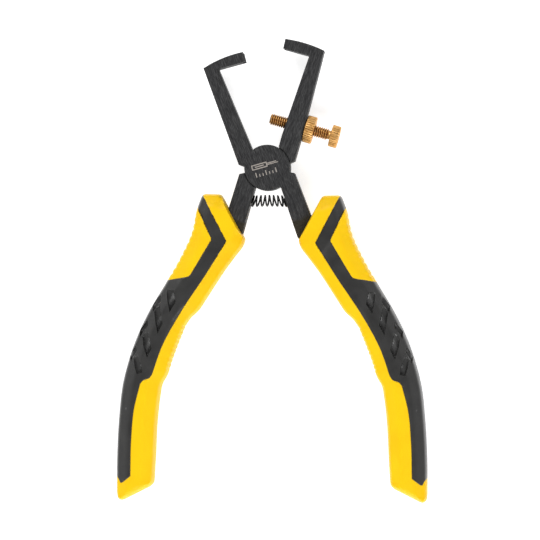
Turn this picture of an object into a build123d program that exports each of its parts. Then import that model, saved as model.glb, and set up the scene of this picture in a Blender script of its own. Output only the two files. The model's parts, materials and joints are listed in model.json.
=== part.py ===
"""End wire stripper: two half-lapped levers on one rivet, hooked V-notch jaws, a return
spring, an adjusting screw with its lock nut, and two-material handles.

Millimetres and degrees. The tool lies flat, jaws towards +Y, front face towards +Z.
The origin is on the pivot axis, on the flat back face of the pivot boss. The levers
stand open, as the return spring leaves them.
"""
from build123d import *
import os
from math import cos, radians, sin, sqrt

os.makedirs("parts", exist_ok=True)


def edge(lean, distance):
    """A lengthwise edge: its clockwise lean from +Y, and how far it passes right of the pivot."""
    return cos(radians(lean)), -sin(radians(lean)), distance


def across(tilt, height):
    """A crosswise edge: its slope from +X, and how far it passes above the pivot."""
    return -sin(radians(tilt)), cos(radians(tilt)), height


def meet(first, second):
    """The point where two edges cross."""
    a1, b1, c1 = first
    a2, b2, c2 = second
    det = a1 * b2 - a2 * b1
    return (c1 * b2 - c2 * b1) / det, (a1 * c2 - a2 * c1) / det


def on_circle(line, radius):
    """The upper point where a lengthwise edge crosses a circle about the pivot."""
    a, b, c = line
    reach = sqrt(radius ** 2 - c ** 2)
    return a * c - b * reach, b * c + a * reach


def at_height(line, y):
    """The point of an edge at height y."""
    a, b, c = line
    return (c - b * y) / a, y


# ---------------------------------------------------------------- driving dimensions
STOCK = 8.0                  # thickness of both levers
MID = STOCK / 2              # the lap plane, and the mid plane of the handles
LAP_GAP = 0.03               # running gap between the two lapped halves
BOSS_R = 7.43                # pivot boss of each lever
SEAM = 0.14                  # radial gap between a boss and the other lever's shoulder
EDGE_BREAK = 0.25            # broken edges of the forgings

FRONT_ARM_OUTER = edge(-20.0, -8.43)
FRONT_ARM_INNER = edge(-22.8, -2.24)
FRONT_HOOK_END = edge(-14.0, 1.42)
FRONT_HOOK_UNDER = across(15.0, 35.0)
FRONT_HOOK_R = 38.3          # back of the inner hook, about the pivot
FRONT_SHOULDER = (-9.25, 0.95), (-6.80, 0.05)

REAR_ARM_OUTER = edge(14.65, 8.27)
REAR_ARM_OUTER_LOW = edge(16.6, 7.81)
REAR_ARM_INNER = edge(19.1, 1.06)
REAR_ARM_INNER_LOW = edge(15.7, 1.75)
REAR_HOOK_END = edge(12.8, -3.49)
REAR_HOOK_UNDER = across(-15.3, 38.5)
REAR_HOOK_R = 42.05          # back of the outer hook, about the pivot
REAR_SHOULDER = (8.80, 2.10), (6.80, 1.25)

LEFT_TANG_OUTER = edge(17.2, -8.07)
LEFT_TANG_INNER = edge(15.5, -2.13)
LEFT_TANG_SHOULDER = (-9.05, -2.05), (-6.80, -1.50)
RIGHT_TANG_OUTER = edge(-20.9, 7.63)
RIGHT_TANG_INNER = edge(-18.5, 2.16)
RIGHT_TANG_SHOULDER = (8.80, -1.75), (6.80, -1.35)

NOTCH_DEPTH = 3.0            # V notches ground into the hook ends
NOTCH_HALF_WIDTH = 2.6
NOTCH_REACH = 6.0            # half length of the grinding cut, more than a hook is deep

RIVET_R = 2.5
RIVET_HEAD_R = 4.0
RIVET_HEAD_T = 1.5
RIVET_LENGTH = 7.0           # blind in the front lever, so the front face stays whole
RUNNING_GAP = 0.05           # radial, on the rivet and on the screw

SCREW_TIP = (0.81, 16.0, MID)
SCREW_TILT = -15.6           # direction from tip to head, from +X
SCREW_R = 1.9
SCREW_HEAD_AT = 20.3         # distances along the screw from its tip
SCREW_HEAD_R = 3.6
SCREW_HEAD_T = 2.8
SCREW_CHAMFER = 0.4
NUT_AT = 11.75
NUT_R = 4.45
NUT_T = 2.95
KNURL_CHAMFER = 0.3

SPRING_Y = -10.8
SPRING_ENDS = (-4.55, 5.15)
SPRING_R = 1.63              # to the wire's centre
SPRING_WIRE_R = 0.27
SPRING_TURNS = 7
PEG_Y = -10.6
PEG_R = 0.9
PEG_DEPTH = 2.5              # pressed into the tang
PEG_PROUD = 0.6

# The right handle is drawn and the left one is its mirror image, a little higher.
HANDLE_MIRROR_X = 1.36
LEFT_HANDLE_LIFT = 0.5
HANDLE_T = 15.0
HANDLE_ROUND = 4.0           # rounding of the handle's two long sides
GRIP_WALL = 2.2              # thickness of the soft grip over the core

# ---------------------------------------------------------------- right handle outline
HANDLE_TOP = [(17.3, -9.9), (18.1, -9.0), (23.5, -9.0)]
HANDLE_OUTER = [(25.3, -13.6), (28.3, -23.7), (34.6, -35.4), (42.3, -49.0), (47.1, -60.6),
                (50.4, -74.3), (51.5, -88.0), (51.8, -106.3)]
HANDLE_FOOT = [(50.3, -108.4), (40.6, -103.7)]
HANDLE_INNER = [(39.5, -101.0), (39.0, -90.0), (37.6, -74.3), (33.7, -62.6), (27.0, -48.5),
                (20.3, -39.3), (15.0, -31.5), (10.1, -23.7)]

# Soft grip of the right handle: a slanted stripe, a bend round the ribbed pad, and the
# long palm side down to a pointed tail. Corners outside the outline close the shape.
STRIPE_INNER = [(25.0, -6.4), (15.7, -24.4)]
PALM_BORDER = [(15.7, -24.4), (22.5, -35.3), (30.3, -47.0), (36.7, -58.7), (39.7, -67.2)]
TAIL_STEP = (43.6, -70.4)
TAIL_BORDER = [(43.6, -70.4), (45.6, -78.5), (46.5, -88.0), (46.8, -100.2)]
TAIL_END = [(49.9, -102.6), (51.2, -100.6), (56.0, -98.0), (54.0, -62.0), (40.0, -37.7)]
PAD_BORDER = [(28.3, -35.8), (27.3, -35.0), (20.7, -23.6), (27.8, -7.9)]

# Spine of the right core under the soft grip, one wall inside the palm side. Its other
# side only has to lie beyond the grip's zone.
SPINE = [(10.0, -26.0), (17.5, -11.5), (22.0, -11.5), (23.2, -14.6), (26.2, -24.6),
         (32.6, -36.6), (40.2, -50.0), (44.9, -61.3), (48.2, -74.8), (49.3, -88.0),
         (49.4, -104.0), (36.0, -104.0)]

# Part of the right tang that the handle hides: it bends outwards along the handle.
TANG_HIDDEN_OUTER = [(20.8, -27.5), (28.2, -38.5), (36.5, -51.5), (42.6, -64.0), (46.0, -82.0)]
TANG_HIDDEN_INNER = [(41.6, -83.0), (38.6, -67.5), (30.8, -52.0), (20.8, -36.5), (13.8, -26.8)]
TANG_BEND_OUTER_Y = -19.0
TANG_BEND_INNER_Y = -22.6


def to_left(points):
    """Right handle points, carried to the left handle."""
    return [(2 * HANDLE_MIRROR_X - x, y + LEFT_HANDLE_LIFT) for x, y in points]


def same(points):
    """Right handle points, where they are."""
    return points


# ---------------------------------------------------------------- levers
def arm_outline(inner_edges, under, end, radius, outer_edges, shoulder):
    """One jaw arm in plan: up the inner edge, round the hook, down the outer edge."""
    inner = [meet(inner_edges[0], across(0, 1.5))]
    inner += [meet(a, b) for a, b in zip(inner_edges, inner_edges[1:])]
    hook = [meet(inner_edges[-1], under), meet(under, end), on_circle(end, radius)]
    crown = ThreePointArc(hook[-1], on_circle(edge_between(end, outer_edges[0]), radius),
                          on_circle(outer_edges[0], radius))
    Polyline(inner + hook)
    outer = [crown @ 1]
    outer += [meet(a, b) for a, b in zip(outer_edges, outer_edges[1:])]
    Polyline(outer + list(shoulder) + [inner[0]])


def edge_between(first, second):
    """A radial edge half way between the upper ends of two lengthwise edges."""
    x1, y1 = on_circle(first, FRONT_HOOK_R)
    x2, y2 = on_circle(second, FRONT_HOOK_R)
    reach = sqrt((x1 + x2) ** 2 + (y1 + y2) ** 2)
    return (y1 + y2) / reach, -(x1 + x2) / reach, 0.0


def tang_outline(outer_edge, inner_edge, shoulder, place):
    """One tang in plan: out of the boss, and bent outwards inside the handle."""
    start = at_height(inner_edge, -2.0)
    outer_side = [at_height(outer_edge, TANG_BEND_OUTER_Y)] + place(TANG_HIDDEN_OUTER)
    inner_side = place(TANG_HIDDEN_INNER) + [at_height(inner_edge, TANG_BEND_INNER_Y)]
    Polyline([start, shoulder[1], shoulder[0]] + outer_side + inner_side + [start])


def notch_plane(end, radius, inwards):
    """Plane across a hook: X into the hook from its end face, Z away from the pivot."""
    a, b, _ = end
    x, y = on_circle(end, radius)
    return Plane(origin=(x, y, MID), x_dir=(a * inwards, b * inwards, 0), z_dir=(-b, a, 0))


screw_plane = Plane(origin=SCREW_TIP, x_dir=(0, 0, 1),
                    z_dir=(cos(radians(SCREW_TILT)), sin(radians(SCREW_TILT)), 0))


def peg_plane(inner_edge, side):
    """Plane on a tang's inner face, Z pointing at the spring."""
    x, y = at_height(inner_edge, PEG_Y)
    return Plane(origin=(x, y, MID), x_dir=(0, 0, 1),
                 z_dir=(inner_edge[0] * side, inner_edge[1] * side, 0))


left_peg_plane = peg_plane(LEFT_TANG_INNER, 1)
right_peg_plane = peg_plane(RIGHT_TANG_INNER, -1)


def break_edges(part):
    """The long plan edges of a forging's two flat faces."""
    faces = part.faces().filter_by(Axis.Z)
    return (faces.group_by(Axis.Z)[0] + faces.group_by(Axis.Z)[-1]).edges()


with BuildPart() as front_lever:
    with BuildSketch():
        with BuildLine():
            arm_outline([FRONT_ARM_INNER], FRONT_HOOK_UNDER, FRONT_HOOK_END, FRONT_HOOK_R,
                        [FRONT_ARM_OUTER], FRONT_SHOULDER)
        make_face()
        with BuildLine():
            tang_outline(RIGHT_TANG_OUTER, RIGHT_TANG_INNER, RIGHT_TANG_SHOULDER, same)
        make_face()
    extrude(amount=STOCK)
    with BuildSketch():
        Circle(BOSS_R + SEAM)
    extrude(amount=MID + LAP_GAP / 2, mode=Mode.SUBTRACT)
    with BuildSketch(Plane.XY.offset(MID + LAP_GAP / 2)):
        Circle(BOSS_R)
    extrude(amount=MID - LAP_GAP / 2)
    chamfer(break_edges(front_lever), EDGE_BREAK)
    with BuildSketch():
        Circle(RIVET_R)
    extrude(amount=RIVET_LENGTH, mode=Mode.SUBTRACT)
    with BuildSketch(notch_plane(FRONT_HOOK_END, FRONT_HOOK_R, -1)):
        Polygon((-1, -NOTCH_HALF_WIDTH - 1), (-1, NOTCH_HALF_WIDTH + 1), (NOTCH_DEPTH, 0), align=None)
    extrude(amount=NOTCH_REACH, both=True, mode=Mode.SUBTRACT)
    with BuildSketch(right_peg_plane):
        Circle(PEG_R)
    extrude(amount=-PEG_DEPTH, mode=Mode.SUBTRACT)

with BuildPart() as rear_lever:
    with BuildSketch():
        with BuildLine():
            arm_outline([REAR_ARM_INNER_LOW, REAR_ARM_INNER], REAR_HOOK_UNDER, REAR_HOOK_END,
                        REAR_HOOK_R, [REAR_ARM_OUTER, REAR_ARM_OUTER_LOW], REAR_SHOULDER)
        make_face()
        with BuildLine():
            tang_outline(LEFT_TANG_OUTER, LEFT_TANG_INNER, LEFT_TANG_SHOULDER, to_left)
        make_face()
    extrude(amount=STOCK)
    with BuildSketch(Plane.XY.offset(MID - LAP_GAP / 2)):
        Circle(BOSS_R + SEAM)
    extrude(amount=MID + LAP_GAP, mode=Mode.SUBTRACT)
    with BuildSketch():
        Circle(BOSS_R)
    extrude(amount=MID - LAP_GAP / 2)
    chamfer(break_edges(rear_lever), EDGE_BREAK)
    with BuildSketch():
        Circle(RIVET_R + RUNNING_GAP)
    extrude(amount=STOCK, mode=Mode.SUBTRACT)
    with Locations((0, 0, RIVET_HEAD_T / 2)):
        Cone(RIVET_HEAD_R + RUNNING_GAP, RIVET_R + RUNNING_GAP, RIVET_HEAD_T, mode=Mode.SUBTRACT)
    with BuildSketch(notch_plane(REAR_HOOK_END, REAR_HOOK_R, 1)):
        Polygon((-1, -NOTCH_HALF_WIDTH - 1), (-1, NOTCH_HALF_WIDTH + 1), (NOTCH_DEPTH, 0), align=None)
    extrude(amount=NOTCH_REACH, both=True, mode=Mode.SUBTRACT)
    with BuildSketch(screw_plane):
        Circle(SCREW_R + RUNNING_GAP)
    extrude(amount=SCREW_HEAD_AT, mode=Mode.SUBTRACT)
    with BuildSketch(left_peg_plane):
        Circle(PEG_R)
    extrude(amount=-PEG_DEPTH, mode=Mode.SUBTRACT)

# ---------------------------------------------------------------- rivet, screw and nut
with BuildPart() as pivot_rivet:
    Cylinder(RIVET_R, RIVET_LENGTH, align=(Align.CENTER, Align.CENTER, Align.MIN))
    with Locations((0, 0, RIVET_HEAD_T / 2)):
        Cone(RIVET_HEAD_R, RIVET_R, RIVET_HEAD_T)

with BuildPart() as adjusting_screw:
    with BuildSketch(screw_plane):
        Circle(SCREW_R)
    extrude(amount=SCREW_HEAD_AT)
    chamfer(adjusting_screw.edges().filter_by(GeomType.CIRCLE).sort_by(Axis.X)[0], SCREW_CHAMFER)
    with BuildSketch(screw_plane.offset(SCREW_HEAD_AT)):
        Circle(SCREW_HEAD_R)
    extrude(amount=SCREW_HEAD_T)
    rims = adjusting_screw.edges().filter_by(GeomType.CIRCLE)
    chamfer(rims.group_by(SortBy.RADIUS)[-1], KNURL_CHAMFER)

with BuildPart() as lock_nut:
    with BuildSketch(screw_plane.offset(NUT_AT)):
        Circle(NUT_R)
    extrude(amount=NUT_T)
    chamfer(lock_nut.edges().filter_by(GeomType.CIRCLE), KNURL_CHAMFER)
    with BuildSketch(screw_plane.offset(NUT_AT)):
        Circle(SCREW_R + RUNNING_GAP)
    extrude(amount=NUT_T, mode=Mode.SUBTRACT)

# ---------------------------------------------------------------- spring and its pegs
coil_length = SPRING_ENDS[1] - SPRING_ENDS[0] - 2 * SPRING_WIRE_R
coil_start = (SPRING_ENDS[0] + SPRING_WIRE_R, SPRING_Y, MID)

with BuildPart() as return_spring:
    with BuildLine():
        coil = Helix(coil_length / SPRING_TURNS, coil_length, SPRING_R,
                     center=coil_start, direction=(1, 0, 0))
    with BuildSketch(Plane(origin=coil @ 0, z_dir=coil % 0)):
        Circle(SPRING_WIRE_R)
    sweep(path=coil)

with BuildPart() as spring_peg_left:
    with BuildSketch(left_peg_plane.offset(-PEG_DEPTH)):
        Circle(PEG_R)
    extrude(amount=PEG_DEPTH + PEG_PROUD)

with BuildPart() as spring_peg_right:
    with BuildSketch(right_peg_plane.offset(-PEG_DEPTH)):
        Circle(PEG_R)
    extrude(amount=PEG_DEPTH + PEG_PROUD)


# ---------------------------------------------------------------- handles
def handle_outline(place):
    """The handle in plan."""
    top = place(HANDLE_TOP)
    outer = place(HANDLE_OUTER)
    foot = place(HANDLE_FOOT)
    inner = place(HANDLE_INNER)
    Polyline(top + outer[:1])
    Spline(outer)
    Polyline(outer[-1:] + foot + inner[:1])
    Spline(inner)
    Line(inner[-1], top[0])


def grip_outline(place):
    """The soft grip's zone in plan."""
    Line(*place(STRIPE_INNER))
    Spline(place(PALM_BORDER))
    Line(*place([PALM_BORDER[-1], TAIL_STEP]))
    Spline(place(TAIL_BORDER))
    Polyline(place(TAIL_BORDER[-1:] + TAIL_END + PAD_BORDER + STRIPE_INNER[:1]))


def handle_blank(place):
    """The whole handle as one rounded block."""
    with BuildPart() as blank:
        with BuildSketch(Plane.XY.offset(MID - HANDLE_T / 2)):
            with BuildLine():
                handle_outline(place)
            make_face()
        extrude(amount=HANDLE_T)
        flat_faces = blank.faces().filter_by(Axis.Z)
        fillet(flat_faces.edges().filter_by(GeomType.BSPLINE), HANDLE_ROUND)
    return blank.part


def handle_grip(blank, place):
    """The soft grip: the block within its zone, outside the core's spine."""
    with BuildPart() as spine:
        with BuildSketch(Plane.XY.offset(MID - HANDLE_T / 2 + GRIP_WALL)):
            Polygon(*place(SPINE), align=None)
        extrude(amount=HANDLE_T - 2 * GRIP_WALL)
    with BuildPart() as grip:
        with BuildSketch(Plane.XY.offset(MID - HANDLE_T)):
            with BuildLine():
                grip_outline(place)
            make_face()
        extrude(amount=2 * HANDLE_T)
        add(blank, mode=Mode.INTERSECT)
        add(spine.part, mode=Mode.SUBTRACT)
    return grip


def handle_core(blank, grip, lever):
    """The hard core: the block without the grip and the lever's tang."""
    with BuildPart() as core:
        add(blank)
        add(grip.part, mode=Mode.SUBTRACT)
        add(lever.part, mode=Mode.SUBTRACT)
    return core


right_blank = handle_blank(same)
right_handle_grip = handle_grip(right_blank, same)
right_handle_core = handle_core(right_blank, right_handle_grip, front_lever)

left_blank = handle_blank(to_left)
left_handle_grip = handle_grip(left_blank, to_left)
left_handle_core = handle_core(left_blank, left_handle_grip, rear_lever)

# ---------------------------------------------------------------- files
pieces = {
    "front_lever": front_lever,
    "rear_lever": rear_lever,
    "pivot_rivet": pivot_rivet,
    "adjusting_screw": adjusting_screw,
    "lock_nut": lock_nut,
    "return_spring": return_spring,
    "spring_peg_left": spring_peg_left,
    "spring_peg_right": spring_peg_right,
    "left_handle_core": left_handle_core,
    "left_handle_grip": left_handle_grip,
    "right_handle_core": right_handle_core,
    "right_handle_grip": right_handle_grip,
}
for name, piece in pieces.items():
    piece.part.label = name
    export_step(piece.part, f"parts/{name}.step")
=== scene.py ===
"""Looks of the end wire stripper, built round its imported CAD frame.

Sizes are in millimetres and angles in degrees, and MM turns them into the frame's metres.
The levers, the rivet and the spring's pegs are the CAD's own nodes with finer materials. The
screw, the nut, the spring and the four handle mouldings are detailed meshes that replace theirs.
"""
import json
import math

import bmesh
import bpy
import numpy as np
from mathutils import Matrix, Vector
from mathutils.geometry import delaunay_2d_cdt


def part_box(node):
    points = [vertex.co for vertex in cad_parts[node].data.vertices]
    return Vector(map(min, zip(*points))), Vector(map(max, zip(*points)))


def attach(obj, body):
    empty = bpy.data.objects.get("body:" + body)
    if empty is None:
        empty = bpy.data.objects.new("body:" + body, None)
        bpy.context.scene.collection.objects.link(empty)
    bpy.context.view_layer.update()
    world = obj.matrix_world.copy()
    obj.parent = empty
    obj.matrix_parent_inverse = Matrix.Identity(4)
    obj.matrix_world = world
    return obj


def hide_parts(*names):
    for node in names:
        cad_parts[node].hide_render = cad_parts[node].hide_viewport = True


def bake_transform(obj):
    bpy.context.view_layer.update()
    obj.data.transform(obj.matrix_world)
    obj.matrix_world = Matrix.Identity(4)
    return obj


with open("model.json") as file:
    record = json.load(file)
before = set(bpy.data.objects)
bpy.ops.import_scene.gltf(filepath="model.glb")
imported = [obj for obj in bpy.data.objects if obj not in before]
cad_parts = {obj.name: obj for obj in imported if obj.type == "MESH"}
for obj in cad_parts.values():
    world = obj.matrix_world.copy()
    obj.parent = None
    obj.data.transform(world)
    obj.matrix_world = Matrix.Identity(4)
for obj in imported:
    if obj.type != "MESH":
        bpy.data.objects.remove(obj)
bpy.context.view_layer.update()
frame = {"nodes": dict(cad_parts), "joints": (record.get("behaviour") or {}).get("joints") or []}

MM = 0.001
lever_low, lever_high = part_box("rear_lever")
core_low, core_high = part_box("right_handle_core")
MID = (lever_low.z + lever_high.z) / 2 / MM  # mid plane of levers and handles
FRONT = lever_high.z / MM    # front face of the levers
HANDLE_HALF = (core_high.z - core_low.z) / 2 / MM
FLOOR_GAP = 0.05             # between the floor and the back of the handles

# ---------------------------------------------------------------- sizes of the pieces
SCREW_TIP = (0.81, 16.0)     # X and Y of the screw's inner end; places along it start there
SCREW_TURN = -15.6           # its lean, and so that of its tool marks
SCREW_LENGTH = 23.1
THREAD_R = 1.92
THREAD_PITCH = 0.7
THREAD_DEPTH = 0.48
THREAD_END = 19.4
THREAD_STEPS = 8             # stations in each pitch of the thread
THREAD_CREST = 0.25          # share of the half pitch that the flat crest takes
THREAD_FLANK = 1.6           # how fast the flank falls from there
HEAD_AT = 20.3
HEAD_R = 3.6
NUT_AT = 11.75
NUT_T = 3.05                 # thickness of the nut
NUT_R = 4.45
NUT_BORE = 1.95
CHAMFER = 0.2
NUT_SINK = 0.3               # countersinks at the ends of the nut's bore
HEAD_RIM = 1.0               # width of the rim round the head's dished end
HEAD_DISH = 0.15
HEAD_TEETH = 30
NUT_TEETH = 35
TOOTH_STEPS = 10             # points round each knurl tooth
HEAD_KNURL = 0.22            # depths of the knurls
NUT_KNURL = 0.27
KNURL_UNEVEN = 0.2           # share of a groove's depth that varies from groove to groove
KNURL_VARY = 2.3

FRONT_LEAN, REAR_LEAN = -20.0, 16.0  # of the grinding marks on the levers
SCALE_FROM = 19.2            # how far down its tang a lever keeps its forging scale

SPRING_Y = -10.8
SPRING_COIL_R = 1.66
SPRING_WIRE_R = 0.29
SPRING_TURNS = 7.7
SPRING_CLOSED_TURNS = 0.6
SPRING_CLOSED_SLACK = 1.02   # pitch of the closed turns, in wire thicknesses
SPRING_CLEAR = 0.05          # between the wire and the tangs
SPRING_BOW = 0.18            # how far the spring's middle bows up
SPRING_STEPS = 28            # points along each turn, and round the wire
SPRING_SIDES = 10
SPRING_HELD = 0.5            # how far in from the tangs two points are put; nothing uses them
TANG_FACES = (15.5, -2.13), (-18.5, 2.16)  # lean and distance of the left and right inner faces

HANDLE_MIRROR_X = 1.36       # the left handle is the right one mirrored about this X
LEFT_HANDLE_LIFT = 0.5       # and moved up by this
SIDE_ROUND = 2.2             # rounding of the handle's sides
MOUTH_ROUND = 0.7            # rounding of the edge that the tang enters
FACET_AT = 4.9               # height of the bevel facet at the outline
FACET_SLOPE = 0.65
FACET_BLEND = 0.5            # how softly the sides, the flats and the toe run into each other
FLAT_BLEND = 0.12
TOE_BLEND = 0.3
TOE_RISE = 1.02              # keeps the toe's rounding from lowering the flats
PAD_SIDE = ((10, 40), (22, 30))  # two depths below the pivot, and the X beyond which the pad lies
SPINE_HALF = 5.3             # half thickness of the core under the soft grip
SPINE_SHARE = 0.8            # and its greatest share of the handle's half thickness
SEAM_DEPTH = 0.16            # groove between the soft and the hard plastic
SEAM_HALF = 0.2
STRIPE_SUNK = 0.55           # how much lower the slanted stripe lies than the palm side
STRIPE_FOLD = (20.4, -23.6)  # a point of the fold between them, and the way across the fold
FOLD_WAY = (0.817, -0.577)
FOLD_REACH = 1.8
SUNK_FADE = 4.0              # the relief fades out where the surface is lower than this
SEAM_FADE = 2.0

# The outline of the right handle, run by run.
MOUTH = [(10.0, -23.6), (17.3, -9.9)]
TOP_INNER = [(17.3, -9.9), (17.7, -9.35), (18.5, -9.0)]
TOP_OUTER = [(22.9, -8.9), (23.7, -9.2), (24.3, -10.0)]
HANDLE_OUTER = [(24.3, -10.0), (25.6, -13.6), (27.5, -21.7), (31.1, -29.5), (35.5, -37.3),
                (41.3, -47.1), (45.0, -54.8), (47.8, -62.6), (49.8, -70.4), (51.1, -82.1),
                (51.7, -93.8), (51.8, -105.6)]
FOOT_OUTER = [(51.8, -105.6), (51.3, -107.7), (50.3, -108.35), (49.2, -108.1)]
FOOT_INNER = [(41.0, -103.95), (39.9, -102.8), (39.6, -101.0)]
HANDLE_INNER = [(39.6, -101.0), (39.2, -93.8), (38.6, -82.1), (37.7, -74.3), (37.0, -70.6),
                (35.5, -67.9), (33.7, -62.6), (30.7, -54.8), (29.0, -50.9), (27.7, -49.1),
                (25.4, -47.0), (22.8, -43.2), (19.0, -37.3), (16.4, -33.4), (13.5, -29.5),
                (10.3, -24.8), (10.0, -23.6)]

# The outline of the soft grip, run by run.
STRIPE_INNER = [(25.0, -6.4), (15.7, -24.4)]
PALM_BORDER = [(15.7, -24.4), (22.5, -35.3), (30.3, -47.0), (36.7, -58.7), (39.7, -67.2)]
TAIL_STEP = [(39.7, -67.2), (40.5, -68.4), (42.8, -69.4), (43.6, -70.4)]
TAIL_BORDER = [(43.6, -70.4), (45.6, -78.5), (46.5, -88.0), (46.8, -100.2)]
TAIL_END = [(46.8, -100.2), (49.6, -102.4), (50.2, -102.4), (50.9, -101.0), (51.6, -100.4),
            (56.0, -99.0)]
OUTSIDE = [(56.0, -99.0), (54.0, -62.0), (40.0, -37.7)]
PAD_BORDER = [(40.0, -37.7), (28.6, -35.85), (27.9, -35.6), (27.3, -35.0), (20.7, -24.0),
              (20.7, -23.3), (27.8, -7.9)]
# The hard plastic that runs on under the soft grip.
SPINE = [(10.0, -26.0), (17.5, -11.5), (22.0, -11.5), (23.2, -14.6), (26.2, -24.6),
         (32.6, -36.6), (40.2, -50.0), (44.9, -61.3), (48.2, -74.8), (49.3, -88.0),
         (49.4, -104.0), (36.0, -104.0)]

PAD_RIBS = (-36.6, -15.4)    # the ribbed stretches, lowest and highest Y
PAD_RIB_PITCH = 2.04
PAD_RIB_DEPTH = 0.3
FINGER_RIBS = (-67.0, -50.5)
FINGER_RIB_PITCH = 1.5
FINGER_RIB_DEPTH = 0.22
RIB_SHARPNESS = 1.3
RIB_REACH = 3.4              # how far the pad's ribs run in from the edge

DIMPLES = [                  # outline of each dimple and its depth
    ([(32.7, -40.2), (35.1, -40.0), (34.9, -43.0), (34.1, -47.3), (32.0, -44.1)], 1.9),
    ([(37.4, -44.6), (39.2, -46.9), (38.7, -50.5), (38.0, -54.2), (36.2, -50.9)], 2.0),
    ([(41.1, -53.1), (43.0, -55.0), (42.7, -57.9), (41.4, -62.0), (39.8, -59.0)], 2.0),
    ([(44.7, -60.6), (45.8, -62.3), (45.5, -64.8), (44.7, -67.3), (42.9, -66.9), (42.9, -64.9)], 1.3),
    ([(37.0, -40.8), (39.9, -44.9), (39.5, -47.1), (36.8, -43.6)], 1.9),
    ([(41.2, -49.4), (44.0, -53.0), (43.8, -55.3), (41.1, -51.6)], 1.9),
    ([(45.0, -57.6), (47.3, -60.9), (46.9, -63.3), (44.7, -59.8)], 1.7),
]
# The area with finer triangles, round the dimples.
DIMPLE_FIELD = [(29.0, -39.0), (37.0, -39.0), (49.0, -64.0), (46.5, -70.5), (40.5, -69.5),
                (34.0, -54.0)]
DIMPLE_DEEP_WAY = (-0.45, -0.89)   # the way in which they get deeper
DIMPLE_STEEP = 2.4           # how early the floor of a dimple drops
DIMPLE_WALL = 0.28           # width of the wall round it

CURVE_STEP = 0.45            # between the points along an outline
FINE_STEP = 0.25
DIMPLE_STEP = 0.4
FLAT = 0.001                 # heights and gaps under this count as none
LEAST_HEIGHT = 0.002         # of a point that isn't on the outline
RINGS = 0.012, 0.06, 0.16, 0.32, 0.55, 0.85, 1.25, 1.75, 2.3   # gaps from the outline inwards
GRID_STEP = 0.62             # between the loose points, and the corners of their fields
FINE_GRID_STEP = 0.32
COARSE_FIELD = (9, -109), (53, -8)
FINE_FIELD = (28, -71), (50, -38)
SPINE_STEP = 1.0
SEAM_CLEAR = 0.24            # from a seam or a dimple's outline to the grid's points
RING_CLEAR = 0.2             # from the last ring to the grid's points
RING_KEPT = 0.96             # share of its gap that a ring's point must be from the outline
SEAM_ROWS = 1.0, 2.2         # half widths of the seam from it to the points beside it
LOOSE_CLEAR = 0.01           # from the fixed lines to any loose point
EDGE_CLEAR = 0.05            # from the outline to the points beside seams and dimples
ROW_SHARE = 0.866            # gap between a grid's rows, as a share of its step

MARK_TILT = 15.6             # the etched mark's lean, and its shift along X
MARK_X = -0.3
MARK_HEIGHT = 0.012
MARK_BARS = [                # low and high X, low and high Y of each bar before the tilt
    (-4.6, 0.6, 0.2, 0.55), (-4.6, 0.6, 1.55, 1.9), (-4.6, -4.25, 0.55, 1.55),
    (0.25, 0.6, 0.55, 1.55), (-3.5, -0.5, 0.88, 1.22), (0.6, 4.2, 0.7, 0.98),
    (0.6, 3.7, 1.14, 1.42),
]
TICKS = 7
TICK_FROM, TICK_STEP, TICK_WIDTH = -3.9, 1.1, 0.32
TICK_FOOT, SHORT_TICK, LONG_TICK = -2.3, -1.4, -0.75

# ---------------------------------------------------------------- sizes of the stage, in metres
FLOOR_HALF = 3.0
LOOK_AT = (0.0007, -0.0331, 0.004)
CAMERA_AT = (0.062, -0.0331, 1.002)
LENS, SENSOR = 205.4, 36.0   # millimetres
LAMPS = [                    # name, way from the tool, size and power in watts
    ("key", (-0.32, 0.76, 0.78), 0.45, 5.6),
    ("fill", (0.14, -0.74, 0.74), 0.36, 6.6),
]
SKY = {"From Min": 0.55, "From Max": 0.97, "To Min": 0.66, "To Max": 0.27}


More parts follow.
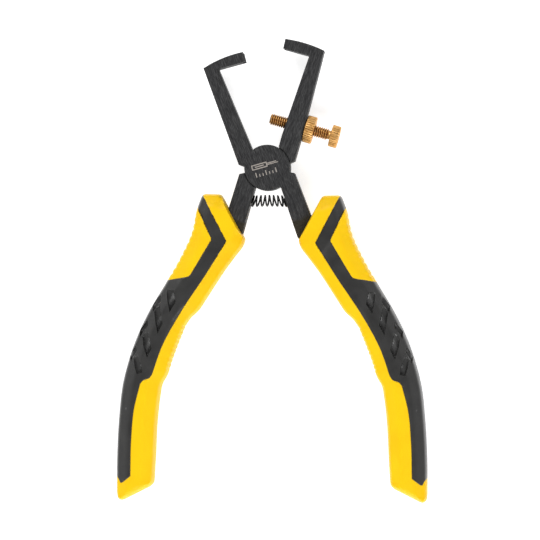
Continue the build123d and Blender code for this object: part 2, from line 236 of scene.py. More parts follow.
# ---------------------------------------------------------------- materials
class Look:
    """A node-based material under construction, its places measured in millimetres."""

    def __init__(self, name, **sockets):
        self.material = bpy.data.materials.new(name)
        self.material.use_nodes = True
        self.tree = self.material.node_tree
        self.shader = self.tree.nodes["Principled BSDF"]
        for key, value in sockets.items():
            self.shader.inputs[key.replace("_", " ")].default_value = value
        place = self.add("ShaderNodeTexCoord").outputs["Object"]
        self.place = self.moved(place, scale=(1 / MM, 1 / MM, 1 / MM))

    def add(self, kind, inputs=None, **settings):
        made = self.tree.nodes.new(kind)
        for key, value in settings.items():
            setattr(made, key, value)
        for key, value in (inputs or {}).items():
            if isinstance(value, bpy.types.NodeSocket):
                self.tree.links.new(value, made.inputs[key])
            else:
                made.inputs[key].default_value = value
        return made

    def moved(self, place, turn=0.0, scale=(1, 1, 1)):
        """The place turned clockwise about Z, then scaled along its own axes."""
        turned = self.add("ShaderNodeMapping", {"Vector": place, "Rotation": (0, 0, math.radians(turn))})
        scaled = self.add("ShaderNodeMapping", {"Vector": turned.outputs[0], "Scale": scale})
        return scaled.outputs[0]

    def noise(self, size, detail=3.0, place=None, stretch=None, turn=0.0, roughness=0.5):
        """Noise whose features are about that size in millimetres."""
        where = place or self.place
        if stretch:
            where = self.moved(where, turn, stretch)
        made = self.add("ShaderNodeTexNoise", {"Vector": where, "Scale": 1 / size,
                                               "Detail": detail, "Roughness": roughness})
        return made.outputs["Fac"]

    def ramp(self, value, *stops):
        """A colour or grey for each value, from (position, colour) stops."""
        made = self.add("ShaderNodeValToRGB", {"Fac": value})
        elements = made.color_ramp.elements
        while len(elements) < len(stops):
            elements.new(0.5)
        for element, (position, colour) in zip(elements, stops):
            element.position = position
            element.color = colour if len(colour) == 4 else (*colour, 1)
        return made.outputs["Color"]

    def span(self, value, low, high, to_low=0.0, to_high=1.0):
        """Value carried from one range to another, and held at the ends."""
        made = self.add("ShaderNodeMapRange", {"Value": value, "From Min": low, "From Max": high,
                                               "To Min": to_low, "To Max": to_high})
        return made.outputs["Result"]

    def mix(self, share, first, second):
        """The first colour or socket, covered by the second to that share."""
        made = self.add("ShaderNodeMix", data_type="RGBA")
        for key, value in ((0, share), (6, first), (7, second)):
            if isinstance(value, bpy.types.NodeSocket):
                self.tree.links.new(value, made.inputs[key])
            else:
                made.inputs[key].default_value = value if key == 0 or len(value) == 4 else (*value, 1)
        return made.outputs[2]

    def maths(self, how, first, second):
        made = self.add("ShaderNodeMath", {0: first, 1: second}, operation=how)
        return made.outputs[0]

    def bump(self, height, depth, strength=1.0, under=None):
        """Relief of that depth in millimetres, over another relief if one is given."""
        inputs = {"Height": height, "Distance": depth * MM, "Strength": strength}
        if under:
            inputs["Normal"] = under
        return self.add("ShaderNodeBump", inputs).outputs["Normal"]

    def edge_wear_and_highlight(self, radius):
        """1 along the edges, 0 on the flats; used for wear on the metals and for painted highlights on
        the plastics.
        """
        soft = self.add("ShaderNodeBevel", {"Radius": radius * MM}, samples=4).outputs["Normal"]
        hard = self.add("ShaderNodeNewGeometry").outputs["Normal"]
        same = self.add("ShaderNodeVectorMath", {0: soft, 1: hard}, operation="DOT_PRODUCT")
        return self.span(same.outputs["Value"], 0.995, 0.80)

    def done(self, **sockets):
        """Links the named sockets of the shader and gives the material."""
        for key, value in sockets.items():
            self.tree.links.new(value, self.shader.inputs[key.replace("_", " ")])
        return self.material


def lever_steel(name, lean):
    """Blackened forging with grinding marks along the lever, and its scale left on the tang."""
    look = Look(name, Metallic=0.4, Specular_IOR_Level=0.25, Specular_Tint=(0.4, 0.4, 0.4, 1))
    streaks = look.noise(1.0, 4.0, stretch=(6.0, 0.42, 1.2), turn=lean, roughness=0.7)
    hairs = look.noise(1.0, 2.0, stretch=(9.0, 0.9, 3.0), turn=lean, roughness=0.6)
    clouds = look.noise(7.0, 3.0)
    ground = look.ramp(streaks, (0.34, (0.014, 0.014, 0.015)), (0.5, (0.039, 0.039, 0.040)),
                       (0.66, (0.092, 0.092, 0.093)))
    ground = look.mix(look.span(hairs, 0.45, 0.75, 0, 0.35), ground, (0.082, 0.082, 0.084))
    ground = look.mix(look.span(clouds, 0.35, 0.7, 0, 0.3), ground, (0.035, 0.035, 0.037))
    pits = look.noise(0.55, 5.0, roughness=0.7)
    scale = look.ramp(pits, (0.3, (0.020, 0.018, 0.013)), (0.65, (0.047, 0.042, 0.031)))
    down = -math.sin(math.radians(lean)), -math.cos(math.radians(lean)), 0
    reach = look.add("ShaderNodeVectorMath", {0: look.place, 1: down}, operation="DOT_PRODUCT")
    ragged = look.maths("ADD", reach.outputs["Value"], look.span(look.noise(2.0), 0.3, 0.7, -0.4, 0.4))
    forged = look.span(ragged, SCALE_FROM - 0.4, SCALE_FROM + 0.5)
    colour = look.mix(forged, ground, scale)
    colour = look.mix(look.maths("MULTIPLY", look.edge_wear_and_highlight(0.2), 0.25), colour, (0.12, 0.12, 0.12))
    shine = look.span(streaks, 0.2, 0.8, 0.36, 0.58)
    dull = look.maths("ADD", shine, look.maths("MULTIPLY", forged, 0.15))
    relief = look.bump(streaks, 0.03, 0.7)
    relief = look.bump(pits, 0.035, 0.5, relief)
    return look.done(Base_Color=colour, Roughness=dull, Normal=relief)


def rivet_steel():
    """Turned rings round the pivot."""
    look = Look("turned_rivet_steel", Metallic=0.8)
    axes = look.add("ShaderNodeSeparateXYZ", {0: look.place}).outputs
    flat = look.add("ShaderNodeCombineXYZ", {"X": axes["X"], "Y": axes["Y"]}).outputs[0]
    radius = look.add("ShaderNodeVectorMath", {0: flat}, operation="LENGTH").outputs["Value"]
    rings = look.maths("SINE", look.maths("MULTIPLY", radius, 18.0), 0.0)
    smear = look.noise(0.8, 4.0)
    colour = look.ramp(smear, (0.3, (0.05, 0.05, 0.052)), (0.7, (0.12, 0.12, 0.122)))
    relief = look.bump(look.maths("ADD", rings, smear), 0.02, 0.6)
    return look.done(Base_Color=colour, Roughness=look.span(smear, 0.2, 0.8, 0.3, 0.5), Normal=relief)


def brass(axis_turn):
    """Bare turned brass: tool marks round the axis, uneven tarnish, and brown shade painted into the
    hollows.
    """
    look = Look("turned_brass", Metallic=1.0)
    marks = look.noise(1.0, 3.0, stretch=(14.0, 1.0, 1.0), turn=axis_turn, roughness=0.6)
    tarnish = look.noise(1.6, 4.0, roughness=0.65)
    colour = look.ramp(tarnish, (0.28, (0.58, 0.30, 0.085)), (0.52, (0.72, 0.41, 0.140)),
                       (0.75, (0.84, 0.53, 0.23)))
    edges = look.edge_wear_and_highlight(0.16)
    colour = look.mix(look.maths("MULTIPLY", edges, 0.3), colour, (0.84, 0.56, 0.28))
    # painted shade: the colour turns dark brown where the surface is enclosed, as shade in the thread
    # and knurl hollows
    hollow_shade = look.add("ShaderNodeAmbientOcclusion", {"Distance": 0.6 * MM}, samples=8).outputs["AO"]
    colour = look.mix(look.span(hollow_shade, 0.92, 0.40, 0, 0.75), colour, (0.16, 0.065, 0.015))
    relief = look.bump(marks, 0.015, 0.3)
    rough = look.span(marks, 0.25, 0.75, 0.36, 0.52)
    return look.done(Base_Color=colour, Roughness=rough, Normal=relief)


def spring_steel():
    """Oiled black wire with drawing marks and rubbed spots."""
    look = Look("oiled_spring_wire", Metallic=0.7)
    patches = look.noise(0.5, 4.0, roughness=0.6)
    colour = look.ramp(patches, (0.35, (0.010, 0.010, 0.010)), (0.62, (0.028, 0.028, 0.029)),
                       (0.78, (0.075, 0.072, 0.068)))
    marks = look.noise(0.12, 3.0)
    return look.done(Base_Color=colour, Roughness=look.span(patches, 0.3, 0.7, 0.28, 0.45),
                     Normal=look.bump(marks, 0.01, 0.5))


def hard_yellow():
    """Satin moulded plastic: faint flow clouds, fine spark texture, and a lighter yellow painted along
    the edges as a highlight.
    """
    look = Look("satin_yellow_plastic", Specular_IOR_Level=0.2, Subsurface_Weight=0.04,
                Subsurface_Scale=0.6 * MM, IOR=1.46)
    clouds = look.noise(9.0, 3.0)
    grains = look.noise(0.22, 3.0, roughness=0.6)
    colour = look.ramp(clouds, (0.3, (0.86, 0.522, 0.0009)), (0.7, (0.92, 0.572, 0.0020)))
    speck = look.span(look.noise(0.45, 2.0), 0.68, 0.78, 0, 0.2)
    colour = look.mix(speck, colour, (0.80, 0.46, 0.004))
    # painted highlight: lighter yellow along the rounded edges, where they would catch the white
    # surroundings
    colour = look.mix(look.maths("MULTIPLY", look.edge_wear_and_highlight(0.5), 0.25), colour, (1.0, 0.70, 0.05))
    rough = look.span(grains, 0.3, 0.7, 0.38, 0.55)
    return look.done(Base_Color=colour, Roughness=rough, Normal=look.bump(grains, 0.025, 0.55))


def soft_black():
    """Matte soft grip: fine pebble texture, slight bloom, and a lighter grey painted along the edges as
    a highlight.
    """
    look = Look("matte_soft_grip", Specular_IOR_Level=0.62, Sheen_Weight=0.03,
                Sheen_Roughness=0.6)
    clouds = look.noise(6.0, 4.0)
    pebbles = look.add("ShaderNodeTexVoronoi", {"Vector": look.place, "Scale": 3.4}).outputs["Distance"]
    grains = look.noise(0.18, 3.0, roughness=0.65)
    colour = look.ramp(clouds, (0.3, (0.0115, 0.0112, 0.0108)), (0.7, (0.0185, 0.0181, 0.0173)))
    dust = look.span(look.noise(0.4, 3.0), 0.62, 0.80, 0, 0.3)
    colour = look.mix(dust, colour, (0.062, 0.060, 0.057))
    # painted highlight: lighter grey along the edges, standing in for the rim's reflection
    colour = look.mix(look.maths("MULTIPLY", look.edge_wear_and_highlight(0.35), 0.3), colour, (0.075, 0.074, 0.072))
    relief = look.bump(pebbles, 0.03, 0.45)
    relief = look.bump(grains, 0.02, 0.5, relief)
    rough = look.span(clouds, 0.3, 0.7, 0.34, 0.46)
    return look.done(Base_Color=colour, Roughness=rough, Normal=relief)


def etched_grey():
    """Frosted laser mark: grainy, lighter than the steel."""
    look = Look("laser_etched_grey", Metallic=0.2, Specular_IOR_Level=0.3)
    grains = look.noise(0.14, 4.0, roughness=0.7)
    colour = look.ramp(grains, (0.30, (0.13, 0.115, 0.10)), (0.60, (0.44, 0.40, 0.365)))
    return look.done(Base_Color=colour, Roughness=look.span(grains, 0.3, 0.7, 0.6, 0.85),
                     Normal=look.bump(grains, 0.01, 0.4))


def pale_floor():
    """Seamless white sweep, very slightly mottled."""
    look = Look("seamless_paper", Roughness=0.9, Specular_IOR_Level=0.1,
                Emission_Color=(1, 1, 1, 1), Emission_Strength=0.72)
    fibre = look.noise(14.0, 4.0)
    colour = look.ramp(fibre, (0.2, (0.70, 0.70, 0.70)), (0.8, (0.73, 0.73, 0.73)))
    return look.done(Base_Color=colour)


# ---------------------------------------------------------------- mesh helpers
def piece(name, points, faces, look, sharp=35.0):
    """A closed mesh in millimetres, shaded smooth except along its sharp edges."""
    mesh = bpy.data.meshes.new(name)
    mesh.from_pydata([tuple(p) for p in np.asarray(points) * MM], [], faces)
    shape = bmesh.new()
    shape.from_mesh(mesh)
    bmesh.ops.delete(shape, geom=[v for v in shape.verts if not v.link_faces], context="VERTS")
    bmesh.ops.recalc_face_normals(shape, faces=shape.faces)
    limit = math.radians(sharp)
    for face in shape.faces:
        face.smooth = True
    for line in shape.edges:
        line.smooth = len(line.link_faces) == 2 and line.calc_face_angle(0) < limit
    shape.to_mesh(mesh)
    shape.free()
    mesh.materials.append(look)
    made = bpy.data.objects.new(name, mesh)
    bpy.context.scene.collection.objects.link(made)
    return made


def smooth_curve(points, step):
    """Points along a smooth curve through the given ones."""
    points = np.array(points, float)
    gaps = np.linalg.norm(np.diff(points, axis=0), axis=1)
    slopes = np.diff(points, axis=0) / gaps[:, None]
    inner = (slopes[:-1] * gaps[1:, None] + slopes[1:] * gaps[:-1, None]) \
        / (gaps[:-1] + gaps[1:])[:, None]
    tangents = np.vstack([slopes[:1], inner, slopes[-1:]])
    made = []
    for i, gap in enumerate(gaps):
        count = max(1, round(gap / step))
        for t in np.arange(count) / count:
            made.append((2 * t ** 3 - 3 * t ** 2 + 1) * points[i]
                        + (t ** 3 - 2 * t ** 2 + t) * gap * tangents[i]
                        + (3 * t ** 2 - 2 * t ** 3) * points[i + 1]
                        + (t ** 3 - t ** 2) * gap * tangents[i + 1])
    return np.array(made + [points[-1]])


def straight(points, step):
    """Points along straight runs between the given ones."""
    runs = [smooth_curve(pair, step)[:-1] for pair in zip(points, points[1:])]
    return np.vstack(runs + [np.array(points[-1:], float)])


def distance(places, line):
    """How far each place is from a polyline."""
    best = np.full(len(places), np.inf)
    for a, b in zip(line[:-1], line[1:]):
        way = b - a
        share = np.clip((places - a) @ way / max(way @ way, 1e-12), 0, 1)
        best = np.minimum(best, np.linalg.norm(places - a - share[:, None] * way, axis=1))
    return best


def inside(places, loop):
    """Whether each place is inside a closed polygon."""
    found = np.zeros(len(places), bool)
    x, y = places.T
    for (ax, ay), (bx, by) in zip(loop, np.roll(loop, -1, axis=0)):
        if ay != by:
            crosses = (ay > y) != (by > y)
            found ^= crosses & (x < (bx - ax) * (y - ay) / (by - ay) + ax)
    return found


def soft_min(first, second, blend):
    """The lower of two heights, rounded over where they meet."""
    near = np.clip(0.5 + 0.5 * (second - first) / blend, 0, 1)
    return second * (1 - near) + first * near - blend * near * (1 - near)


def ridge(y, stretch, pitch):
    """0 on the ribs and 1 in the grooves between them, over a stretch of Y."""
    low, high = stretch
    fade = np.clip(np.minimum(y - low, high - y) / pitch, 0, 1)
    wave = np.abs(np.sin(np.pi * (y - low) / pitch))
    return fade * (1 - wave) ** RIB_SHARPNESS


# ---------------------------------------------------------------- handles
def ribbed(line, stretch, pitch, depth):
    """The outline with its ribs cut into it. Its inside is on the right of its direction."""
    way = np.gradient(line, axis=0)
    way /= np.linalg.norm(way, axis=1)[:, None]
    inward = np.column_stack([way[:, 1], -way[:, 0]])
    return line + inward * (depth * ridge(line[:, 1], stretch, pitch))[:, None]


def handle_outline():
    """The right handle's outline, clockwise: its mouth, outer side, foot and inner side."""
    outer = ribbed(smooth_curve(HANDLE_OUTER, FINE_STEP), PAD_RIBS, PAD_RIB_PITCH, PAD_RIB_DEPTH)
    inner = ribbed(smooth_curve(HANDLE_INNER, FINE_STEP), FINGER_RIBS, FINGER_RIB_PITCH,
                   FINGER_RIB_DEPTH)
    foot = np.vstack([smooth_curve(FOOT_OUTER, FINE_STEP)[:-1],
                      straight([FOOT_OUTER[-1], FOOT_INNER[0]], CURVE_STEP)[:-1],
                      smooth_curve(FOOT_INNER, FINE_STEP)])
    outer = np.vstack([smooth_curve(TOP_INNER, FINE_STEP)[:-1],
                       straight([TOP_INNER[-1], TOP_OUTER[0]], CURVE_STEP)[:-1],
                       smooth_curve(TOP_OUTER, FINE_STEP)[:-1], outer])
    return straight(MOUTH, CURVE_STEP), outer, foot, inner


def grip_zone():
    """Closed outline of the soft grip, reaching out past the handle where it wraps round."""
    runs = [straight(STRIPE_INNER, CURVE_STEP), smooth_curve(PALM_BORDER, CURVE_STEP),
            smooth_curve(TAIL_STEP, CURVE_STEP), smooth_curve(TAIL_BORDER, CURVE_STEP),
            straight(TAIL_END, CURVE_STEP), straight(OUTSIDE, CURVE_STEP),
            straight(PAD_BORDER, CURVE_STEP)]
    return np.vstack([run[:-1] for run in runs] + [runs[-1][-1:]])


def dimple_depth(places):
    """How deep the dimples are at each place."""
    depth = np.zeros(len(places))
    way = np.array(DIMPLE_DEEP_WAY)
    for corners, deepest in DIMPLES:
        loop = np.array(corners)
        within = inside(places, loop)
        reach = places @ way
        low, high = (loop @ way).min(), (loop @ way).max()
        slope = 1 - (1 - np.clip((reach - low) / (high - low), 0, 1)) ** DIMPLE_STEEP
        wall = np.clip(distance(places, np.vstack([loop, loop[:1]])) / DIMPLE_WALL, 0, 1)
        depth = np.maximum(depth, within * deepest * slope * wall)
    return depth


def handle_height(places, outline, zone):
    """Height of the handle's surface over its mid plane."""
    mouth, outer, foot, inner = outline
    edge = np.minimum(distance(places, outer), distance(places, inner))
    toe = distance(places, foot)
    lip = distance(places, mouth)

    def rounded(gap, radius):
        return HANDLE_HALF * np.sqrt(1 - (1 - np.clip(gap / radius, 0, 1)) ** 2)

    height = soft_min(rounded(edge, SIDE_ROUND), FACET_AT + FACET_SLOPE * edge, FACET_BLEND)
    height = soft_min(height, np.full(len(places), HANDLE_HALF), FLAT_BLEND)
    height = soft_min(height, rounded(toe, SIDE_ROUND) * TOE_RISE, TOE_BLEND)
    height = np.minimum(height, rounded(lip, MOUTH_ROUND))
    outer_side = places[:, 0] > np.interp(-places[:, 1], *PAD_SIDE)
    grooves = ridge(places[:, 1], PAD_RIBS, PAD_RIB_PITCH) * outer_side
    height -= PAD_RIB_DEPTH * grooves * np.clip(1 - edge / RIB_REACH, 0, 1) * np.clip(edge, 0, 1)
    past_fold = (places - STRIPE_FOLD) @ np.array(FOLD_WAY)
    sunk = STRIPE_SUNK * np.exp(-np.clip(past_fold, 0, None) / FOLD_REACH)
    height -= sunk * inside(places, zone) * np.clip(height / SUNK_FADE, 0, 1)
    thick = np.clip(height / SEAM_FADE, 0, 1)
    seam = np.clip(1 - distance(places, zone) / SEAM_HALF, 0, 1)
    height -= thick * (SEAM_DEPTH * seam + dimple_depth(places))
    on_outline = np.minimum(np.minimum(edge, toe), lip) < FLAT
    return np.where(on_outline, 0, np.maximum(height, LEAST_HEIGHT))


def grid(low, high, step):
    """Staggered rows of points over a rectangle."""
    rows = np.arange(low[1], high[1], step * ROW_SHARE)
    return np.array([(x + (i % 2) * step / 2, y) for i, y in enumerate(rows)
                     for x in np.arange(low[0], high[0], step)])


def beside(line, gap):
    """The line's points, moved sideways to both sides."""
    way = np.gradient(line, axis=0)
    way /= np.maximum(np.linalg.norm(way, axis=1), 1e-9)[:, None]
    aside = np.column_stack([way[:, 1], -way[:, 0]]) * gap
    return np.vstack([line + aside, line - aside])


def handle_plan():
    """Triangles that fill the handle's outline, their region, and the height at each point."""
    runs = handle_outline()
    zone = grip_zone()
    outline = np.vstack([run[:-1] for run in runs])
    closed = np.vstack([outline, outline[:1]])
    loops = [outline, zone[:-1], straight(SPINE + SPINE[:1], SPINE_STEP)[:-1]]
    features = [zone]
    for corners, _ in DIMPLES:
        loop = straight(corners + corners[:1], DIMPLE_STEP)
        loops.append(loop[:-1])
        features.append(loop)
    rings = []
    for gap in RINGS:
        ring = beside(closed, gap)
        kept = inside(ring, outline) & (distance(ring, closed) > RING_KEPT * gap)
        rings.append(ring[kept])
    seams = np.vstack([beside(zone, row * SEAM_HALF) for row in SEAM_ROWS])
    floors = np.vstack([beside(f, DIMPLE_WALL) for f in features[1:]])
    near_dimples = np.array(DIMPLE_FIELD)
    coarse = grid(*COARSE_FIELD, GRID_STEP)
    fine = grid(*FINE_FIELD, FINE_GRID_STEP)
    coarse = coarse[~inside(coarse, near_dimples)]
    fine = fine[inside(fine, near_dimples)]
    spread = np.vstack([coarse, fine])
    spread = spread[distance(spread, closed) > RINGS[-1] + RING_CLEAR]
    clear = np.min([distance(spread, f) for f in features], axis=0) > SEAM_CLEAR
    extra = np.vstack([seams, floors])
    extra = extra[distance(extra, closed) > EDGE_CLEAR]
    loose = np.vstack([*rings, extra, spread[clear]])
    loose = loose[inside(loose, outline)]
    fixed, lines, start = [], [], 0
    for loop in loops:
        fixed.append(loop)
        count = len(loop)
        lines += [(start + i, start + (i + 1) % count) for i in range(count)]
        start += count
    gap = np.min([distance(loose, np.vstack([l, l[:1]])) for l in loops[:2] + loops[3:]], axis=0)
    loose = loose[gap > LOOSE_CLEAR]
    everything = np.vstack(fixed + [loose])
    found = delaunay_2d_cdt([Vector(p) for p in everything], lines, [], 0, 1e-5, False)
    places = np.array([tuple(p) for p in found[0]])
    triangles = np.array(found[2])
    middles = places[triangles].mean(axis=1)
    kept = inside(middles, outline)
    triangles, middles = triangles[kept], middles[kept]
    height = handle_height(places, runs, zone)
    thick = height[triangles].max(axis=1) > FLAT
    triangles, middles = triangles[thick], middles[thick]
    in_zone = inside(middles, zone[:-1])
    in_spine = inside(middles, np.array(SPINE))
    region = np.where(in_zone, np.where(in_spine, 1, 2), 0)
    return places, triangles, region, height


# Which of the three layers, back, middle and front, each moulding fills in each region:
# clear of the grip, grip over the core's spine, and grip alone.
CORE_LAYERS = (1, 1, 1), (0, 1, 0), (0, 0, 0)
GRIP_LAYERS = (0, 0, 0), (1, 0, 1), (1, 1, 1)


def moulding(plan, layers):
    """Points and faces of the closed solid that fills those layers of the plan."""
    places, triangles, region, height = plan
    inner = np.minimum(SPINE_HALF, SPINE_SHARE * height)
    levels = np.column_stack([MID - height, MID - inner, MID + inner, MID + height])
    points = np.column_stack([np.repeat(places, 4, axis=0), levels.ravel()])
    flat = height < FLAT

    def corner(v, level):
        return 4 * v if flat[v] else 4 * v + level

    faces = []

    def face(*corners):
        unique = [c for i, c in enumerate(corners) if c != corners[i - 1]]
        if len(set(unique)) == len(unique) and len(unique) > 2:
            faces.append(unique)

    sides = {}
    for (a, b, c), r in zip(triangles.tolist(), region.tolist()):
        filled = layers[r]
        for level in range(4):
            below = filled[level - 1] if level > 0 else 0
            above = filled[level] if level < 3 else 0
            if below > above:
                face(corner(a, level), corner(b, level), corner(c, level))
            elif above > below:
                face(corner(c, level), corner(b, level), corner(a, level))
        for pair in ((a, b), (b, c), (c, a)):
            sides[pair] = filled
    for (a, b), filled in sides.items():
        other = sides.get((b, a), (0, 0, 0))
        for k in range(3):
            if filled[k] > other[k]:
                face(corner(a, k), corner(b, k), corner(b, k + 1), corner(a, k + 1))
    return points, faces


def handles(yellow, black):
    """Both handles, the left one the mirror image of the right one, a little higher."""
    plan = handle_plan()
    for part, layers, look, slot in (("core", CORE_LAYERS, yellow, "hard_yellow"),
                                     ("grip", GRIP_LAYERS, black, "soft_black")):
        points, faces = moulding(plan, layers)
        mirrored = points * (-1, 1, 1) + (2 * HANDLE_MIRROR_X, LEFT_HANDLE_LIFT, 0)
        for side, body, where in (("right", "front_half", points), ("left", "rear_half", mirrored)):
            made = piece(f"{side}_handle_{part}_moulded", where, faces, look)
            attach(made, body)
            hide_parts(f"{side}_handle_{part}")


# ---------------------------------------------------------------- screw and nut
def lathe(stations, count, shape, closed=False):
    """Points and faces of a turned form. A station is (place along the axis, radius, effect),
    and shape(angle, place, radius, effect) gives the radius there."""
    angles = np.arange(count) * 2 * np.pi / count
    points = [(s, shape(t, s, r, e) * math.cos(t), shape(t, s, r, e) * math.sin(t))
              for s, r, e in stations for t in angles]
    rows = len(stations)
    faces = []
    for i in range(rows if closed else rows - 1):
        j = (i + 1) % rows
        for k in range(count):
            n = (k + 1) % count
            faces.append((i * count + k, i * count + n, j * count + n, j * count + k))
    if not closed:
        for row, place in ((0, stations[0][0]), (rows - 1, stations[-1][0])):
            points.append((place, 0, 0))
            centre = len(points) - 1
            faces += [(row * count + k, row * count + (k + 1) % count, centre)
                      for k in range(count)]
    return np.array(points), faces


def along_screw(points):
    """Points along and round the screw's axis, put in place."""
    axis = next(j for j in frame["joints"] if j["name"] == "nut_travel")["axis"]
    x, y = axis[0], axis[1]
    turned = points @ np.array([(x, y, 0), (-y, x, 0), (0, 0, 1)])
    return turned + (*SCREW_TIP, MID)


def knurl(angle, teeth, depth):
    """Depth of a straight knurl, some of its grooves pressed deeper than others."""
    groove = max(0.0, math.cos(angle * teeth)) ** 2
    number = round(angle * teeth / (2 * math.pi))
    uneven = 1 - KNURL_UNEVEN + KNURL_UNEVEN * math.sin(KNURL_VARY * number)
    return depth * uneven * groove


def screw_radius(angle, place, radius, effect):
    """Radius of the screw: threaded on its shank, knurled on its head."""
    if effect == "thread":
        turn = (place / THREAD_PITCH - angle / (2 * math.pi)) % 1
        flank = min(1.0, max(0.0, abs(2 * turn - 1) - THREAD_CREST) * THREAD_FLANK)
        return radius - THREAD_DEPTH * flank
    if effect == "knurl":
        return radius - knurl(angle, HEAD_TEETH, HEAD_KNURL)
    return radius


def adjusting_screw(look):
    """Thumb screw with a chamfered tip, a neck, and a knurled head with a dished end."""
    steps = np.arange(CHAMFER, THREAD_END, THREAD_PITCH / THREAD_STEPS)
    stations = [(0.0, THREAD_R - THREAD_DEPTH - 0.1, None), (0.05, THREAD_R - THREAD_DEPTH, None)]
    for s in steps:
        grown = THREAD_R - THREAD_DEPTH * max(0.0, 1 - s / (2 * CHAMFER))
        stations.append((s, grown, "thread"))
    neck = THREAD_R - THREAD_DEPTH
    head_end = SCREW_LENGTH
    stations += [(THREAD_END, neck, None),
                 (HEAD_AT - 0.12, neck, None),
                 (HEAD_AT, neck + 0.12, None),
                 (HEAD_AT + 0.02, HEAD_R - CHAMFER - 0.05, None),
                 (HEAD_AT + 0.06, HEAD_R - CHAMFER, None),
                 (HEAD_AT + CHAMFER, HEAD_R - 0.02, "knurl"),
                 (HEAD_AT + CHAMFER + 0.1, HEAD_R, "knurl"),
                 (head_end - CHAMFER - 0.1, HEAD_R, "knurl"),
                 (head_end - CHAMFER, HEAD_R - 0.02, "knurl"),
                 (head_end - 0.04, HEAD_R - CHAMFER, None),
                 (head_end, HEAD_R - CHAMFER - 0.1, None),
                 (head_end, HEAD_R - HEAD_RIM, None),
                 (head_end - HEAD_DISH, HEAD_R - HEAD_RIM - 0.2, None)]
    points, faces = lathe(stations, TOOTH_STEPS * HEAD_TEETH, screw_radius)
    made = piece("adjusting_screw_turned", along_screw(points), faces, look, 50)
    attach(made, "screw")
    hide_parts("adjusting_screw")


def lock_nut(look):
    """Round knurled nut, chamfered outside and countersunk at its bore."""
    def shape(angle, place, radius, effect):
        return radius - knurl(angle, NUT_TEETH, NUT_KNURL) if effect else radius

    end = NUT_AT + NUT_T
    stations = [(NUT_AT, NUT_BORE + NUT_SINK, 0), (NUT_AT, NUT_R - CHAMFER - 0.1, 0),
                (NUT_AT + 0.05, NUT_R - CHAMFER, 0), (NUT_AT + CHAMFER, NUT_R - 0.03, 1),
                (NUT_AT + CHAMFER + 0.12, NUT_R, 1), (end - CHAMFER - 0.12, NUT_R, 1),
                (end - CHAMFER, NUT_R - 0.03, 1), (end - 0.05, NUT_R - CHAMFER, 0),
                (end, NUT_R - CHAMFER - 0.1, 0), (end, NUT_BORE + NUT_SINK, 0),
                (end - NUT_SINK, NUT_BORE, 0), (NUT_AT + NUT_SINK, NUT_BORE, 0)]
    points, faces = lathe(stations, TOOTH_STEPS * NUT_TEETH, shape, closed=True)
    made = piece("lock_nut_knurled", along_screw(points), faces, look, 50)
    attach(made, "nut")
    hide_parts("lock_nut")


# ---------------------------------------------------------------- spring
def tang_face(side, y):
    """X of a tang's inner face at height y."""
    lean, gap = TANG_FACES[side]
    return (gap + math.sin(math.radians(lean)) * y) / math.cos(math.radians(lean))


def return_spring(look):
    """Compression spring with closed ends that sit against the two slanted tangs."""
    steps, sides = round(SPRING_TURNS * SPRING_STEPS), SPRING_SIDES
    total = SPRING_TURNS
    span = tang_face(1, SPRING_Y) - tang_face(0, SPRING_Y)
    closed_pitch = 2 * SPRING_WIRE_R / span * SPRING_CLOSED_SLACK

    def share(turn):
        """How far along the spring the wire is after that many turns."""
        closed = SPRING_CLOSED_TURNS
        first = min(turn, closed) * closed_pitch
        last = max(0.0, turn - (total - closed)) * closed_pitch
        middle = min(max(turn - closed, 0), total - 2 * closed) / (total - 2 * closed)
        return first + last + middle * (1 - 2 * closed * closed_pitch)

    line = []
    for i in range(steps + 1):
        turn = total * i / steps
        angle = 2 * math.pi * turn
        y = SPRING_Y + SPRING_COIL_R * math.cos(angle)
        z = MID + SPRING_COIL_R * math.sin(angle)
        left = tang_face(0, y) + SPRING_WIRE_R + SPRING_CLEAR
        right = tang_face(1, y) - SPRING_WIRE_R - SPRING_CLEAR
        bow = SPRING_BOW * math.sin(math.pi * share(turn))
        line.append((left + (right - left) * share(turn), y + bow, z))
    line = np.array(line)
    ways = np.gradient(line, axis=0)
    points, faces = [], []
    for p, way in zip(line, ways):
        way = Vector(way).normalized()
        out = Vector((0, p[1] - SPRING_Y, p[2] - MID))
        out = (out - out.dot(way) * way).normalized()
        side = way.cross(out)
        for k in range(sides):
            a = 2 * math.pi * k / sides
            points.append(Vector(p) + SPRING_WIRE_R * (math.cos(a) * out + math.sin(a) * side))
    for i in range(steps):
        for k in range(sides):
            n = (k + 1) % sides
            faces.append((i * sides + k, i * sides + n, (i + 1) * sides + n, (i + 1) * sides + k))
    faces += [tuple(range(sides)), tuple(steps * sides + k for k in range(sides))]
    made = piece("return_spring_coiled", [tuple(p) for p in points], faces, look, 60)
    left = Vector((tang_face(0, SPRING_Y) + SPRING_HELD, SPRING_Y, MID)) * MM
    right = Vector((tang_face(1, SPRING_Y) - SPRING_HELD, SPRING_Y, MID)) * MM
    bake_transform(made)
    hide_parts("return_spring")


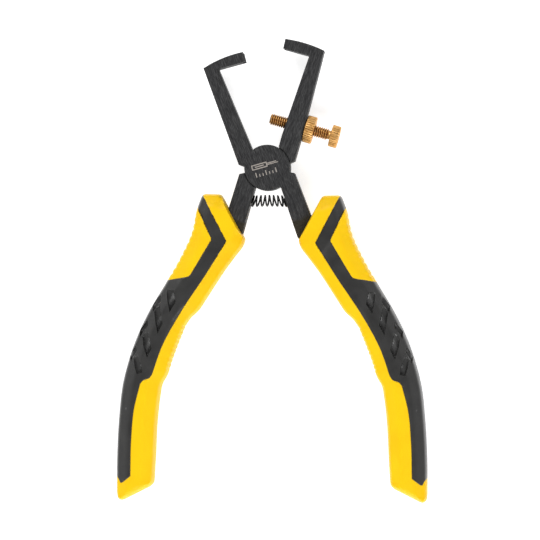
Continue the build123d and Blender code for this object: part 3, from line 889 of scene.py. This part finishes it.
# ---------------------------------------------------------------- etched mark
def etched_mark(look):
    """A generic mark on the boss: a wire with its end stripped, over a row of scale ticks."""
    tilt = math.radians(MARK_TILT)
    ticks = [(TICK_FROM + TICK_STEP * i, TICK_FROM + TICK_STEP * i + TICK_WIDTH, TICK_FOOT,
              LONG_TICK if i % 3 == 0 else SHORT_TICK) for i in range(TICKS)]
    points, faces = [], []
    for x0, x1, y0, y1 in MARK_BARS + ticks:
        start = len(points)
        for z in (FRONT, FRONT + MARK_HEIGHT):
            for x, y in ((x0, y0), (x1, y0), (x1, y1), (x0, y1)):
                points.append((x * math.cos(tilt) - y * math.sin(tilt) + MARK_X,
                               x * math.sin(tilt) + y * math.cos(tilt), z))
        for quad in ((3, 2, 1, 0), (4, 5, 6, 7), (0, 1, 5, 4), (1, 2, 6, 5), (2, 3, 7, 6), (3, 0, 4, 7)):
            faces.append(tuple(start + q for q in quad))
    made = piece("etched_mark", points, faces, look)
    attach(made, "front_half")


# ---------------------------------------------------------------- stage
def dress(node, look):
    """Gives a CAD node its material."""
    materials = frame["nodes"][node].data.materials
    materials.clear()
    materials.append(look)


def sky(tree):
    """A white light tent: bright round the sides, dimmer overhead where the camera looks in."""
    place = tree.nodes.new("ShaderNodeTexCoord").outputs["Generated"]
    height = tree.nodes.new("ShaderNodeSeparateXYZ")
    tree.links.new(place, height.inputs[0])
    strength = tree.nodes.new("ShaderNodeMapRange")
    strength.interpolation_type = "SMOOTHSTEP"
    tree.links.new(height.outputs["Z"], strength.inputs["Value"])
    for name, value in SKY.items():
        strength.inputs[name].default_value = value
    background = tree.nodes["Background"]
    background.inputs["Color"].default_value = (1, 1, 1, 1)
    tree.links.new(strength.outputs["Result"], background.inputs["Strength"])


def stage():
    """Floor, soft studio light and the camera."""
    scene = bpy.context.scene
    scene.view_settings.view_transform = "Standard"
    world = bpy.data.worlds.new("studio")
    world.use_nodes = True
    sky(world.node_tree)
    scene.world = world
    half, height = FLOOR_HALF, (core_low.z / MM - FLOOR_GAP) * MM
    mesh = bpy.data.meshes.new("floor")
    mesh.from_pydata([(-half, -half, height), (half, -half, height), (half, half, height),
                      (-half, half, height)], [], [(0, 1, 2, 3)])
    mesh.materials.append(pale_floor())
    floor = bpy.data.objects.new("floor", mesh)
    scene.collection.objects.link(floor)
    centre = Vector(LOOK_AT)
    for name, way, size, power in LAMPS:
        data = bpy.data.lights.new(name, "AREA")
        data.size = size
        data.energy = power
        lamp = bpy.data.objects.new(name, data)
        lamp.location = centre + Vector(way)
        lamp.rotation_euler = (-Vector(way)).to_track_quat("-Z", "Y").to_euler()
        scene.collection.objects.link(lamp)
    data = bpy.data.cameras.new("camera")
    data.lens = LENS
    data.sensor_width = SENSOR
    data.clip_start, data.clip_end = 0.01, 20.0
    camera = bpy.data.objects.new("camera", data)
    scene.collection.objects.link(camera)
    place = Vector(CAMERA_AT)
    back = (place - centre).normalized()
    right = Vector((0, 1, 0)).cross(back).normalized()
    up = back.cross(right)
    camera.matrix_world = Matrix.Translation(place) @ Matrix((right, up, back)).transposed().to_4x4()
    scene.camera = camera


def main():
    dress("front_lever", lever_steel("ground_steel_front", FRONT_LEAN))
    dress("rear_lever", lever_steel("ground_steel_rear", REAR_LEAN))
    dress("pivot_rivet", rivet_steel())
    wire = spring_steel()
    dress("spring_peg_left", wire)
    dress("spring_peg_right", wire)
    screw_brass = brass(SCREW_TURN)
    adjusting_screw(screw_brass)
    lock_nut(screw_brass)
    return_spring(wire)
    etched_mark(etched_grey())
    handles(hard_yellow(), soft_black())
    stage()


main()
